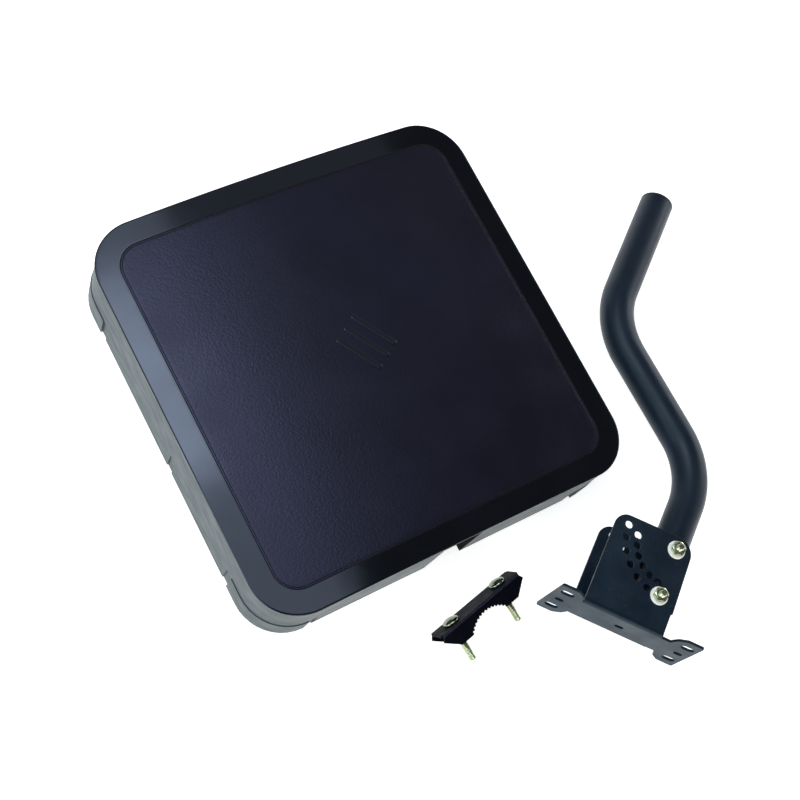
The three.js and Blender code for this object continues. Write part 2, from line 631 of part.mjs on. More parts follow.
// ---------------------------------------------------------------- clamp
// its own frame: X along the clamp, bolts along Y with their heads at +Y, and Z across
function clampFlangeShape() {
  const arcCentre = -CLAMP_DEPTH - Math.sqrt(CLAMP_ARC ** 2 - CLAMP_ARC_HALF ** 2);
  const halfAngle = Math.asin(CLAMP_ARC_HALF / CLAMP_ARC);
  const top = Math.PI / 2;
  const teeth = toothedArc(0, arcCentre, CLAMP_ARC, top - halfAngle, top + halfAngle, 14, -TOOTH_DEPTH);
  const outline = [
    [-33, -CLAMP_DEPTH], [-46, -6], [-43.5, -3], [-43.5, 0], [43.5, 0], [43.5, -3], [46, -6], [33, -CLAMP_DEPTH],
  ];
  return polygon([...outline, ...teeth]);
}

function clampBracket() {
  const flange = clampFlangeShape();
  const upper = toSolid(prism(flange, CLAMP_WEB_HALF - CLAMP_PLATE, CLAMP_WEB_HALF));
  const lower = toSolid(prism(flange, -CLAMP_WEB_HALF, -CLAMP_WEB_HALF + CLAMP_PLATE));
  const web = new THREE.Shape();
  const half = CLAMP_WEB_HALF;
  filletedLine(web, [
    [0, -half], [43.5, -half], [CLAMP_HALF, -half + 3], [CLAMP_HALF, half - 3], [43.5, half],
    [-43.5, half], [-CLAMP_HALF, half - 3], [-CLAMP_HALF, -half + 3], [-43.5, -half], [0, -half],
  ].map(([x, y]) => new THREE.Vector2(x, y)), [0, 0.2, 1, 1, 0.2, 0.2, 1, 1, 0.2, 0]);
  const squareHole = SHANK + CLEARANCE;
  const holes = [-1, 1].map((side) => toSolid(box(
    [(side * CLAMP_SPACING) / 2 - squareHole, -5, -squareHole],
    [(side * CLAMP_SPACING) / 2 + squareHole, 5, squareHole],
  )));
  return cut(join([toSolid(prismAlongY(web, -CLAMP_PLATE, 0)), upper, lower]), holes);
}

function carriageBolt() {
  const points = [[0, -CLAMP_BOLT_LENGTH], [SHANK - 0.6, -CLAMP_BOLT_LENGTH], [SHANK, -CLAMP_BOLT_LENGTH + 0.8]];
  points.push([SHANK, GAP + 0.2], [7.4, GAP + 0.2], [7.4, GAP + 1]);
  const domeSteps = 5;
  for (let i = 1; i <= domeSteps; i += 1) {
    const angle = (i / domeSteps) * (Math.PI / 2);
    points.push([7.4 * Math.cos(angle), GAP + 1 + 2.8 * Math.sin(angle)]);
  }
  points[points.length - 1][0] = 0;
  const turned = toSolid(new THREE.LatheGeometry(points.map(([x, y]) => new THREE.Vector2(x, y)), 24));
  return turned.add(toSolid(box([-SHANK, -3, -SHANK], [SHANK, GAP + 1, SHANK])));
}

function buildClamp() {
  const clamp = new THREE.Group();
  addPiece(clamp, 'clamp_bracket', clampBracket(), clampSteel());
  [['clamp_bolt_left', -1], ['clamp_bolt_right', 1]].forEach(([name, side]) => {
    const bolt = addPiece(clamp, name, carriageBolt(), zinc());
    bolt.position.x = (side * CLAMP_SPACING) / 2;
  });

  clamp.rotation.x = CLAMP_LEAN;
  const turned = new THREE.Group();
  turned.add(clamp);
  turned.rotation.z = CLAMP_TURN;
  const height = CLAMP_DEPTH * Math.sin(CLAMP_LEAN) + CLAMP_WEB_HALF * Math.cos(CLAMP_LEAN);
  turned.position.set(CLAMP_PLACE.x, CLAMP_PLACE.y, height);
  return turned;
}

// ---------------------------------------------------------------- kit
const kit = new THREE.Group();
kit.add(buildPanel(), buildMastMount(), buildClamp());
kit.updateMatrixWorld(true);
const extent = new THREE.Box3().setFromObject(kit, true);
const middle = extent.getCenter(new THREE.Vector3());
kit.position.set(-middle.x, -middle.y, -extent.min.z);

const antennaKit = new THREE.Group();
antennaKit.add(kit);

export default antennaKit;
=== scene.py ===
"""Looks of the flat-panel antenna kit: a square panel on its back, a J-shaped mast mount and a mast clamp.

The row frame is in metres. Each item is drawn in millimetres in a frame of its own, and PANEL, MOUNT and
CLAMP carry those millimetres into the row frame.
"""
import json
from math import acos, asin, atan2, ceil, cos, pi, radians, sin, sqrt, tan

import bmesh
import bpy
from mathutils import Matrix, Vector
from mathutils.geometry import tessellate_polygon


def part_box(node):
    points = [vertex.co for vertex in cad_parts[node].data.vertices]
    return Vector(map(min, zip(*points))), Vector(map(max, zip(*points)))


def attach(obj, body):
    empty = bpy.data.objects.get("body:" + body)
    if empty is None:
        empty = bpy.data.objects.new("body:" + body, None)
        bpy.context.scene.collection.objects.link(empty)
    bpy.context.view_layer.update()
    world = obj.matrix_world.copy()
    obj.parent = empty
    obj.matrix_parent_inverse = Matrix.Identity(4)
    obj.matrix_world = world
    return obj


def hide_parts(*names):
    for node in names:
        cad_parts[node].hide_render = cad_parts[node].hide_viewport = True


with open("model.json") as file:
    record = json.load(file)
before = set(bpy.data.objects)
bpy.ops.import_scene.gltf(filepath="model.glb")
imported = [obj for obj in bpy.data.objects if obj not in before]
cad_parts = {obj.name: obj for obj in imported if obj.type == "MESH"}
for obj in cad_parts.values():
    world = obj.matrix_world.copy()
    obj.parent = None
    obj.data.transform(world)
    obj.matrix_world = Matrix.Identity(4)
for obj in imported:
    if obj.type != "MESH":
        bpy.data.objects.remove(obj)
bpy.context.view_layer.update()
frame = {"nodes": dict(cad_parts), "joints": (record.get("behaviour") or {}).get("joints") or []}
scene = bpy.context.scene
nodes = frame["nodes"]
joints = {joint["name"]: joint for joint in frame["joints"]}

WELD_DISTANCE = 2e-6  # metres

# ------------------------------------------------------------------ sizes, in millimetres
# panel: the seam between housing and cover is a shallow arch over the panel's width
PANEL_HALF = 178
PANEL_CORNER = 42
SEAM_EDGE = 61.7
SEAM_RISE = 8.9
LID = 2.5
GROOVE = 20.4  # from the panel's edge to the groove's outer side
GROOVE_WIDTH = 1.8
GROOVE_DEPTH = 1.0
FIELD_DROP = 0.45  # the field lies this far below the rim
MARK = {"x": 2, "y": 6, "length": 44, "width": 4.4, "pitch": 13, "turn": radians(-57)}
CHANNEL_HALF = 18
CHANNEL_END = 10

# quarter-inch fasteners
SHANK = 3.175
THREAD_PITCH = 1.27
THREAD_DEPTH = 0.62
NUT_FLATS = 11.1
NUT_HEIGHT = 5.5
NUT_TURN = 0.3  # radians
HEX_HEAD = 4.2
WASHER_RADIUS = 8.1
WASHER_THICKNESS = 1.4
BOLT_PAST_PLATES = 11.5
BOLT_THREAD = 16
CLEARANCE = 0.35  # round a shank in its washer or hole
POINT_CHAMFER = 0.9
CENTRE_RADIUS = 0.4  # of the small flat that closes a turned end
GAP = 0.3  # between pieces that meet

# mast mount
TUBE_RADIUS = 15.875
TUBE_WALL = 1.5
TUBE_BEND = 75
TUBE_MOUTH = 60  # depth of the open end's bore
CAP_THICKNESS = 2.4
PLATE = 2.5
PLATE_INSIDE = 16.2
PLATE_OUTSIDE = PLATE_INSIDE + PLATE
FOLD_RADIUS = 3.2
EAR_HALF = 31
FOOT_HALF = 66
EAR_SLOT = {"x": 56.5, "y": 18, "length": 12, "width": 7.6}
EAR_MIDDLE_SLOT = {"length": 8, "width": 5}
FOOT_SLOT = {"length": 8.5, "width": 4.5}
SIDE_PLATE_LOW, SIDE_PLATE_HIGH = -41.3, 33.1  # the ends of its fold along the foot
PIVOT = Vector((23.5, 76.5))
LOCK_RADIUS = 46.4
LOCK_ANGLE = radians(-94.8)
HOLE_STEP = radians(15)
INNER_HOLE_RADIUS = 35.9
CLEAR_HOLE = 3.6
TUBE_LOW_END = 11
TUBE_CORNERS = [Vector((31.2, 166.7)), Vector((-91.5, 271.2))]
TUBE_TOP = Vector((-83, 416.8))

# mast clamp
CLAMP_HALF = 43.5  # to where its ends begin to slant
CLAMP_TIP = 46
CLAMP_WEB_HALF = 11
CLAMP_DEPTH = 17
CLAMP_PLATE = 2
CLAMP_FOLD = 2.2
CLAMP_ARC = 26.9
CLAMP_ARC_HALF = 21.5
CLAMP_TEETH = 14
TOOTH_DEPTH = 1.7
CLAMP_BOLT_LENGTH = 38
CLAMP_BOLT_PLAIN = 7  # its neck and the plain shank under it
CLAMP_BOLT_REACH = 27  # from the clamp's middle to each bolt
CLAMP_PLACE = (1.1, -223.2)  # in the panel's frame
DOME_RADIUS = 7.4
DOME_HEIGHT = 3.6


# ------------------------------------------------------------------ item frames
def item_frame(x_axis, y_axis, z_axis, origin):
    """Millimetres along three row-frame axes from an origin in metres."""
    turn = Matrix((x_axis, y_axis, z_axis)).transposed().to_4x4()
    return Matrix.Translation(origin) @ turn @ Matrix.Scale(0.001, 4)


def level_side(axis):
    """The level direction to the side of an axis."""
    return axis.cross(Vector((0, 0, 1))).normalized()


def panel_frame():
    """X and Y from the panel's middle, Z up from the surface that it lies on."""
    low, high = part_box("front_cover")
    return Matrix.Translation(((low.x + high.x) / 2, (low.y + high.y) / 2, 0)) @ Matrix.Scale(0.001, 4)


def mount_frame():
    """X along the foot, Y up the mast, Z across, with the foot's inner face at Y = 0."""
    across = -Vector(joints["mast_swing"]["axis"]).normalized()
    along = level_side(across)
    up = across.cross(along)
    pivot = Vector(joints["mast_swing"]["pos_m"])
    return item_frame(along, up, across, pivot - (along * PIVOT.x + up * PIVOT.y) / 1000)


def clamp_frame():
    """X along the clamp, Y towards the bolts' heads, Z across."""
    towards_heads = Vector(joints["bolt_slide_left"]["axis"]).normalized()
    along = level_side(towards_heads)
    lean = asin(towards_heads.z)
    height = CLAMP_DEPTH * sin(lean) + CLAMP_WEB_HALF * cos(lean)
    place = PANEL @ Vector((*CLAMP_PLACE, height))
    return item_frame(along, towards_heads, along.cross(towards_heads), place)


PANEL = panel_frame()
MOUNT = mount_frame()
CLAMP = clamp_frame()


# ------------------------------------------------------------------ outlines
def arc(x, y, radius, start, end, steps):
    angles = [start + (end - start) * i / steps for i in range(steps + 1)]
    return [Vector((x + radius * cos(a), y + radius * sin(a))) for a in angles]


def turned(point, angle):
    return Vector((point.x * cos(angle) - point.y * sin(angle), point.x * sin(angle) + point.y * cos(angle)))


def bent_line(points, radii, step_angle):
    """Straight runs with a round bend at each inner corner."""
    line = [points[0]]
    for i in range(1, len(points) - 1):
        back = (points[i - 1] - points[i]).normalized()
        ahead = (points[i + 1] - points[i]).normalized()
        half_angle = acos(max(-1, min(1, back.dot(ahead)))) / 2
        if radii[i] == 0:
            line.append(points[i])
            continue
        start = points[i] + back * (radii[i] / tan(half_angle))
        centre = points[i] + (back + ahead).normalized() * (radii[i] / sin(half_angle))
        turn = pi - 2 * half_angle
        if back.cross(ahead) > 0:
            turn = -turn
        first = start - centre
        steps = max(2, ceil(abs(turn) / step_angle))
        line.extend(centre + turned(first, turn * k / steps) for k in range(steps + 1))
    line.append(points[-1])
    return line


def outline(corners, step_angle=radians(10)):
    """A closed outline from corners (x, y, radius), anticlockwise."""
    points = [Vector(corner[:2]) for corner in corners]
    start = (points[0] + points[-1]) / 2
    line = bent_line([start, *points, start], [0, *[corner[2] for corner in corners], 0], step_angle)
    return line[:-1]


def circle_hole(x, y, radius, steps=28):
    """A round hole, clockwise."""
    return arc(x, y, radius, 2 * pi, 0, steps)[:-1]


def slot_outline(x, y, length, width, steps=12):
    """A round-ended slot along X, anticlockwise."""
    reach = (length - width) / 2
    right = arc(x + reach, y, width / 2, -pi / 2, pi / 2, steps)
    left = arc(x - reach, y, width / 2, pi / 2, 1.5 * pi, steps)
    return right + left


def grown(loop, distance):
    """The closed loop moved to its left by a distance, with mitred corners."""
    moved = []
    for i, point in enumerate(loop):
        before = (point - loop[i - 1]).normalized()
        after = (loop[(i + 1) % len(loop)] - point).normalized()
        normal = Vector((-before.y - after.y, before.x + after.x))
        normal.normalize()
        spread = max(0.5, Vector((-before.y, before.x)).dot(normal))
        moved.append(point + normal * (distance / spread))
    return moved


# ------------------------------------------------------------------ meshes
class Shape:
    """The surface of one piece, in its item's millimetres. finish is the number of the material."""

    def __init__(self):
        self.points = []
        self.faces = []
        self.finishes = []

    def add_face(self, indices, finish=0):
        self.faces.append(indices)
        self.finishes.append(finish)

    def loft(self, rings, finishes=None, closed=False, capped=(False, False)):
        """Quads from ring to ring, with a finish for each band. closed joins the last ring to the first."""
        first = len(self.points)
        count = len(rings[0])
        for ring in rings:
            self.points.extend(Vector(point) for point in ring)
        bands = len(rings) if closed else len(rings) - 1
        for band in range(bands):
            low = first + band * count
            high = first + ((band + 1) % len(rings)) * count
            for i in range(count):
                j = (i + 1) % count
                self.add_face((low + i, low + j, high + j, high + i), finishes[band] if finishes else 0)
        if capped[0]:
            self.add_face(tuple(reversed(range(first, first + count))))
        if capped[1]:
            last = first + (len(rings) - 1) * count
            self.add_face(tuple(range(last, last + count)), finishes[-1] if finishes else 0)

    def plate(self, loops, low, high, edge=0.35, margin=0.5, place=lambda x, y, z: (x, y, z)):
        """A flat plate with rounded edges and a narrow flat margin inside them.

        The first loop is its outline and the others are holes, clockwise.
        """
        edge_steps = 3
        angles = [i * pi / 2 / edge_steps for i in range(edge_steps + 1)]
        sections = [(edge * (1 - sin(a)), edge * (1 - cos(a))) for a in angles]
        levels = [(edge + margin, low)] + [(inset, low + rise) for inset, rise in sections]
        levels += [(inset, high - rise) for inset, rise in reversed(sections)] + [(edge + margin, high)]
        for loop in loops:
            rings = [[place(p.x, p.y, z) for p in grown(loop, inset)] for inset, z in levels]
            self.loft(rings)
        for z, flip in ((low, True), (high, False)):
            faces = [[Vector((p.x, p.y, 0)) for p in grown(loop, edge + margin)] for loop in loops]
            first = len(self.points)
            for loop in faces:
                self.points.extend(Vector(place(p.x, p.y, z)) for p in loop)
            for triangle in tessellate_polygon(faces):
                indices = [first + i for i in triangle]
                self.add_face(tuple(reversed(indices)) if flip else tuple(indices))

    def strip(self, section, low, high, place, finish=0):
        """A closed section carried along a straight line, with flat ends."""
        self.loft([[place(a, b, t) for a, b in section] for t in (low, high)], [finish], capped=(True, True))

    def piece(self, name, place, body, slot, materials, stands_for=(), sharp=radians(34)):
        """Makes the object, in the row frame, riding on a CAD body."""
        mesh = bpy.data.meshes.new(name)
        mesh.from_pydata([place @ point for point in self.points], [], self.faces)
        for material in materials:
            mesh.materials.append(material)
        mesh.polygons.foreach_set("material_index", self.finishes)
        work = bmesh.new()
        work.from_mesh(mesh)
        bmesh.ops.remove_doubles(work, verts=work.verts, dist=WELD_DISTANCE)
        bmesh.ops.recalc_face_normals(work, faces=work.faces)
        work.to_mesh(mesh)
        work.free()
        mesh.polygons.foreach_set("use_smooth", [True] * len(mesh.polygons))
        mesh.set_sharp_from_angle(angle=sharp)
        obj = bpy.data.objects.new(name, mesh)
        scene.collection.objects.link(obj)
        even = obj.modifiers.new("even_normals", "WEIGHTED_NORMAL")
        even.keep_sharp = True
        even.weight = 90
        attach(obj, body)
        if stands_for:
            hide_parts(*stands_for)
        return obj


def round_ring(radius, z, steps=48):
    """radius and z are numbers, or functions of the angle."""
    ring = []
    for i in range(steps):
        a = 2 * pi * i / steps
        r = radius(a) if callable(radius) else radius
        ring.append((r * cos(a), r * sin(a), z(a) if callable(z) else z))
    return ring


def hexagon(flats):
    """The radius of a hexagon as a function of the angle."""
    return lambda a: flats / 2 / cos((a % (pi / 3)) - pi / 6)


def hex_end(flats, z, side):
    """The chamfered end of a hexagon at height z; side is 1 for the upper end and -1 for the lower."""
    wall = hexagon(flats)
    face = flats * 0.47
    fall = tan(radians(30))
    return [round_ring(wall, lambda a: z - side * (wall(a) - face) * fall), round_ring(face, z)]


def thread_rings(low, high):
    """A screw thread that runs out at its lower end."""
    per_turn = 6
    count = ceil((high - low) / THREAD_PITCH * per_turn)
    rings = []
    for k in range(count + 1):
        z = low + (high - low) * k / count
        run_out = min(1, (z - low) / THREAD_PITCH)
        wave = lambda a: abs(((z / THREAD_PITCH - a / (2 * pi)) % 1) * 2 - 1)
        rings.append(round_ring(lambda a: SHANK - run_out * THREAD_DEPTH * wave(a), z))
    return rings


# ------------------------------------------------------------------ materials
def linear(hex_colour):
    """A screen colour as linear red, green, blue and alpha."""
    values = [int(hex_colour[i:i + 2], 16) / 255 for i in (0, 2, 4)]
    return (*[v / 12.92 if v <= 0.04045 else ((v + 0.055) / 1.055) ** 2.4 for v in values], 1)


class Finish:
    """A procedural surface: a base colour with blotches, grains in relief and uneven roughness.

    tint is the colour of its reflections.
    """

    def __init__(self, name, colour, roughness, metallic=0.0, specular=0.5, tint="ffffff"):
        self.material = bpy.data.materials.new(name)
        self.material.use_nodes = True
        self.tree = self.material.node_tree
        self.shader = self.tree.nodes["Principled BSDF"]
        self.shader.inputs["Metallic"].default_value = metallic
        self.shader.inputs["Roughness"].default_value = roughness
        self.shader.inputs["Base Color"].default_value = linear(colour)
        self.shader.inputs["Specular IOR Level"].default_value = specular
        self.shader.inputs["Specular Tint"].default_value = linear(tint)
        self.roughness = roughness
        self.colour = linear(colour)
        self.coords = self.tree.nodes.new("ShaderNodeTexCoord").outputs["Object"]
        self.normal = None

    def feed(self, socket, value):
        """Links a socket to another, or sets its value."""
        if isinstance(value, bpy.types.NodeSocket):
            self.tree.links.new(value, socket)
        else:
            socket.default_value = value

    def node(self, kind, **inputs):
        made = self.tree.nodes.new(kind)
        for key, value in inputs.items():
            self.feed(made.inputs[key], value)
        return made

    def noise(self, size, detail, stretch=(1, 1, 1)):
        """A noise whose features are about size millimetres across."""
        spot = self.node("ShaderNodeMapping", Vector=self.coords, Scale=stretch).outputs["Vector"]
        made = self.node("ShaderNodeTexNoise", Vector=spot, Scale=1000 / size, Detail=detail)
        return made.outputs["Fac"]

    def remap(self, value, low, high, to_low, to_high):
        made = self.node("ShaderNodeMapRange", Value=value)
        for key, number in (("From Min", low), ("From Max", high), ("To Min", to_low), ("To Max", to_high)):
            made.inputs[key].default_value = number
        return made.outputs["Result"]

    def relief(self, height_map, height):
        """Adds a relief of the given height in millimetres over what is there."""
        made = self.node("ShaderNodeBump", Height=height_map, Distance=height / 1000, Strength=1.0)
        if self.normal:
            self.feed(made.inputs["Normal"], self.normal)
        self.normal = made.outputs["Normal"]
        self.feed(self.shader.inputs["Normal"], self.normal)
        return self

    def grain(self, size, height, detail=2.0, stretch=(1, 1, 1)):
        """A fine relief; size and height are in millimetres."""
        return self.relief(self.noise(size, detail, stretch), height)

    def pebbles(self, size, height):
        """A relief of rounded cells; size and height are in millimetres."""
        cells = self.node("ShaderNodeTexVoronoi", Vector=self.coords, Scale=1000 / size)
        cells.feature = "SMOOTH_F1"
        return self.relief(self.remap(cells.outputs["Distance"], 0.0, 0.8, 1.0, 0.0), height)

    def uneven(self, size, spread, stretch=(1, 1, 1)):
        """Varies the roughness by a share of itself."""
        low, high = self.roughness * (1 - spread), self.roughness * (1 + spread)
        value = self.remap(self.noise(size, 4.0, stretch), 0.3, 0.7, low, high)
        self.feed(self.shader.inputs["Roughness"], value)
        return self

    def mix_colour(self, factor, other):
        """Lays another colour over what is there, by a factor from 0 to 1."""
        made = self.tree.nodes.new("ShaderNodeMix")
        made.data_type = "RGBA"
        self.feed(made.inputs["Factor"], factor)
        self.feed(made.inputs["A"], self.colour)
        self.feed(made.inputs["B"], linear(other))
        self.colour = made.outputs["Result"]
        self.feed(self.shader.inputs["Base Color"], self.colour)
        return self

    def blotches(self, size, other, low=0.45, high=0.75):
        """Patches of another colour, where a noise rises from low to high."""
        return self.mix_colour(self.remap(self.noise(size, 4.0), low, high, 0.0, 1.0), other)

    def math(self, operation, first, second=0.0):
        made = self.tree.nodes.new("ShaderNodeMath")
        made.operation = operation
        for socket, value in zip(made.inputs, (first, second)):
            self.feed(socket, value)
        return made.outputs["Value"]

    def painted_channel_shade(self, other, middle, half, end, specular):
        """Painted shade: another, duller colour within half millimetres of a line along Y. middle and end are
        in metres.
        """
        split = self.node("ShaderNodeSeparateXYZ", Vector=self.coords)
        away = self.math("ABSOLUTE", self.math("SUBTRACT", split.outputs["X"], middle))
        near = self.remap(away, half / 1000, (half + 0.1) / 1000, 1.0, 0.0)
        before = self.remap(split.outputs["Y"], end, end + 0.001, 1.0, 0.0)
        shade_mask = self.math("MULTIPLY", near, before)
        shine = self.shader.inputs["Specular IOR Level"]
        self.feed(shine, self.remap(shade_mask, 0.0, 1.0, shine.default_value, specular))
        return self.mix_colour(shade_mask, other)


def cover_rim():
    finish = Finish("cover_rim_gloss", "06070b", 0.13, specular=0.6, tint="d4e2ff")
    return finish.blotches(60, "090a11").uneven(45, 0.35).grain(26, 0.035, 1.0).grain(0.5, 0.0006)


def cover_field():
    finish = Finish("cover_field_pebbled", "07060f", 0.33, specular=0.5, tint="c8ceff")
    return finish.blotches(80, "0b0a18").uneven(50, 0.12).pebbles(1.8, 0.07).grain(0.8, 0.03, 3.0)


def housing_wall():
    """Grey plastic with a faint upright grain, and painted shade inside the mast channel, near black there.
    """
    finish = Finish("housing_plastic", "3b474b", 0.5, specular=0.4)
    finish.blotches(55, "333f44").uneven(25, 0.2, (1, 1, 4))
    channel_end = PANEL.translation.y + (CHANNEL_END + GAP) / 1000
    # painted shade: the mast channel's inside is made near black, with little reflection
    finish.painted_channel_shade("060608", PANEL.translation.x, CHANNEL_HALF + GAP, channel_end, 0.02)
    return finish.grain(2.2, 0.05, 4.0, (0.08, 0.08, 1)).grain(0.8, 0.02, 3.0)


def moulded_black():
    finish = Finish("moulded_black", "0f1014", 0.55)
    return finish.blotches(9, "15161b").uneven(6, 0.2).grain(0.9, 0.03, 3.0)


# rubber for the gasket, also laid on the cover's seam edge and groove lines as painted shadow
def rubber_and_painted_shadow():
    return Finish("rubber_and_painted_shadow", "08080a", 0.85).uneven(5, 0.1).grain(0.6, 0.03, 3.0)


def mast_paint():
    finish = Finish("mast_powder_coat", "111c29", 0.38, specular=0.32, tint="d8ecff")
    return finish.blotches(45, "152230").uneven(30, 0.18).grain(1.1, 0.028, 3.0).grain(0.4, 0.008)


def foot_paint():
    finish = Finish("foot_powder_coat", "121e2e", 0.42, metallic=0.12, specular=0.3, tint="d8f4f2")
    finish.blotches(28, "182838").uneven(20, 0.2).grain(0.9, 0.03, 3.0)
    return finish.blotches(2.5, "263a40", 0.62, 0.78)


def clamp_paint():
    finish = Finish("clamp_powder_coat", "07080f", 0.45, specular=0.04, tint="c8ccff")
    finish.blotches(12, "0b0c16").uneven(10, 0.2).grain(0.8, 0.03, 3.0)
    return finish.blotches(2, "14151f", 0.68, 0.8)


def clamp_fold_highlight_paint():
    """The clamp's paint along the folds: its lighter colour is a painted highlight, and it is glossier so
    that the folds catch light too.
    """
    finish = Finish("clamp_fold_painted_highlight", "10111c", 0.3, specular=0.6, tint="d8d8ff")
    return finish.blotches(6, "1a1b26").uneven(5, 0.3).grain(0.8, 0.03, 3.0)


def zinc_plating():
    finish = Finish("zinc_plating", "ccd5b6", 0.24, metallic=1.0)
    finish.blotches(5, "9aaa8e").blotches(2.2, "e2e4c6", 0.5, 0.8)
    return finish.uneven(3, 0.35).grain(0.5, 0.01, 3.0)


def washer_plating():
    finish = Finish("washer_plating", "fbfcf8", 0.35, specular=0.8)
    return finish.blotches(4, "eff1ea").uneven(3, 0.3).grain(0.6, 0.012, 3.0)


def polished_head():
    finish = Finish("zinc_head_polished", "8f9884", 0.1, metallic=1.0)
    return finish.blotches(6, "7c8672").uneven(4, 0.3).grain(0.5, 0.004, 3.0)


def nickel_plating():
    finish = Finish("nickel_plating", "c6c2b4", 0.26, metallic=1.0)
    return finish.blotches(5, "a8a698").uneven(3, 0.3).grain(0.4, 0.006, 3.0)


def board_laminate():
    finish = Finish("board_laminate", "1f5a3a", 0.5)
    return finish.blotches(7, "184a30").uneven(5, 0.2).grain(0.7, 0.02, 3.0, (1, 0.1, 1))


def copper_foil():
    finish = Finish("copper_foil", "b87333", 0.32, metallic=1.0)
    return finish.blotches(14, "96582a").uneven(8, 0.3).grain(0.8, 0.01, 3.0, (1, 0.05, 1))


def aluminium_sheet():
    finish = Finish("aluminium_sheet", "b4b8bc", 0.36, metallic=1.0)
    return finish.blotches(20, "9da2a8").uneven(8, 0.25).grain(0.9, 0.01, 3.0, (1, 0.04, 1))


MAKERS = {
    "rim": cover_rim, "field": cover_field, "wall": housing_wall, "black": moulded_black, "seal": rubber_and_painted_shadow,
    "tube": mast_paint, "plate": foot_paint, "clamp": clamp_paint, "clamp_fold_highlight": clamp_fold_highlight_paint,
    "zinc": zinc_plating, "washer": washer_plating, "head": polished_head, "nickel": nickel_plating,
    "board": board_laminate, "copper": copper_foil, "sheet": aluminium_sheet,
}
LOOK = {name: make().material for name, make in MAKERS.items()}


# ------------------------------------------------------------------ panel
def seam_height(x):
    """The height of the cover's lower edge across the panel."""
    return SEAM_EDGE + SEAM_RISE * (1 - (x / PANEL_HALF) ** 2)


def square_ring(half, radius, side_steps=30, corner_steps=14):
    """A rounded square with the same number of points at every size, so that rings can be lofted."""
    reach = half - radius
    ring = []
    for quarter in range(4):
        start = (quarter - 1) * pi / 2
        corner_angle = start + pi / 4
        corner = Vector((cos(corner_angle), sin(corner_angle))) * (reach * sqrt(2))
        ring.extend(arc(corner.x, corner.y, radius, start, start + pi / 2, corner_steps))
        side_start = ring[-1]
        ahead = Vector((-sin(start + pi / 2), cos(start + pi / 2)))
        ring.extend(side_start + ahead * (2 * reach * i / side_steps) for i in range(1, side_steps))
    return ring


def cover_ring(inset, rise):
    """The panel's outline moved inwards and up from the seam."""
    half = PANEL_HALF - inset
    radius = max(PANEL_CORNER - inset, min(6.0, half * 0.4))
    return [(p.x, p.y, seam_height(p.x) + rise) for p in square_ring(half, radius)]


def front_cover():
    """From under the middle, out and round the rim, across the bezel and groove and over the field.

    Each stretch is a list of (inset, rise): in from the panel's edge and up from the seam.
    """
    low = GAP / 2
    field_top = LID - FIELD_DROP
    rim = [
        (9, low), (1.5, low), (0.9, 0.2), (0.5, 0.33), (0.2, 0.6), (0.05, 0.95), (0, 1.35), (0.06, 1.7),
        (0.25, 2.05), (0.6, 2.3), (1.1, 2.44), (1.8, 2.49), (2.6, LID), (7, LID), (13, LID), (18, LID),
    ]
    floor = LID - GROOVE_DEPTH
    inner = GROOVE + GROOVE_WIDTH
    groove = [
        (GROOVE - 0.5, LID), (GROOVE - 0.3, LID - 0.05), (GROOVE - 0.1, LID - 0.5), (GROOVE + 0.02, floor),
        (GROOVE + 0.14, floor), (GROOVE + 0.32, field_top - 0.12), (GROOVE + 0.5, field_top),
        (inner - 0.5, field_top), (inner - 0.32, field_top - 0.12), (inner - 0.1, floor),
        (inner + 0.06, floor), (inner + 0.2, field_top - 0.12), (inner + 0.4, field_top),
    ]
    field_start = inner + 4
    field_end = PANEL_HALF - 2.5
    field_width = field_end - field_start
    field_steps = 20
    field = [(field_start + field_width * i / field_steps, field_top) for i in range(field_steps + 1)]
    underside = [(inset, low) for inset, _ in reversed(field)]
    rings = [cover_ring(inset, rise) for inset, rise in underside + rim + groove + field]
    # The underside, the rim's lowest bands at the seam and the groove's two lines take the dark rubber look
    # as painted shadow.
    gloss, pebbled, shadow = range(3)
    seam_shadow_bands = 4
    bands = [(shadow, len(underside) + seam_shadow_bands), (gloss, len(rim) - seam_shadow_bands + 1)]
    bands += [(shadow, 4), (pebbled, 3), (shadow, 3)]  # the groove: two lines of painted shadow with a band between them
    finishes = [finish for finish, count in bands for _ in range(count)]
    finishes += [pebbled] * (len(rings) - len(finishes))
    shape = Shape()
    shape.loft(rings, finishes, capped=(True, True))
    materials = [LOOK["rim"], LOOK["field"], LOOK["seal"]]
    shape.piece("front_cover_shell", PANEL, "panel", "cover", materials, ["front_cover"])


def raised_mark():
    """Three plain bars in relief in the middle of the field."""
    step = Vector((cos(MARK["turn"] + pi / 2), sin(MARK["turn"] + pi / 2))) * MARK["pitch"]
    turn = Matrix.Rotation(MARK["turn"], 2)
    profile = [(0, -0.2), (0, 0.2), (0.15, 0.32), (0.45, 0.4), (0.9, 0.42)]  # inset, rise from the field
    for i in (-1, 0, 1):
        centre = Vector((MARK["x"], MARK["y"])) + step * i
        loop = slot_outline(0, 0, MARK["length"], MARK["width"], 10)
        rings = []
        for inset, rise in profile:
            spots = [centre + turn @ p for p in grown(loop, inset)]
            rings.append([(p.x, p.y, seam_height(p.x) + LID - FIELD_DROP + rise) for p in spots])
        shape = Shape()
        shape.loft(rings, capped=(True, True))
        shape.piece(f"cover_bar_{i + 2}", PANEL, "panel", "cover", [LOOK["rim"]])


front_cover()
raised_mark()


# ------------------------------------------------------------------ mast mount
def about_pivot(radius, angle):
    """A place on a circle about the pivot."""
    return PIVOT + Vector((cos(angle), sin(angle))) * radius


LOCK = about_pivot(LOCK_RADIUS, LOCK_ANGLE)


def fold_section(outside, radius, thickness):
    """A quarter bend from a plate at v = -thickness..0 up into a plate that ends at w = outside."""
    centre = (outside - radius, radius - thickness)
    outer = arc(centre[0], centre[1], radius, -pi / 2, 0, 8)
    inner = arc(centre[0], centre[1], radius - thickness, 0, -pi / 2, 8)
    return [(p.x, p.y) for p in outer + inner]


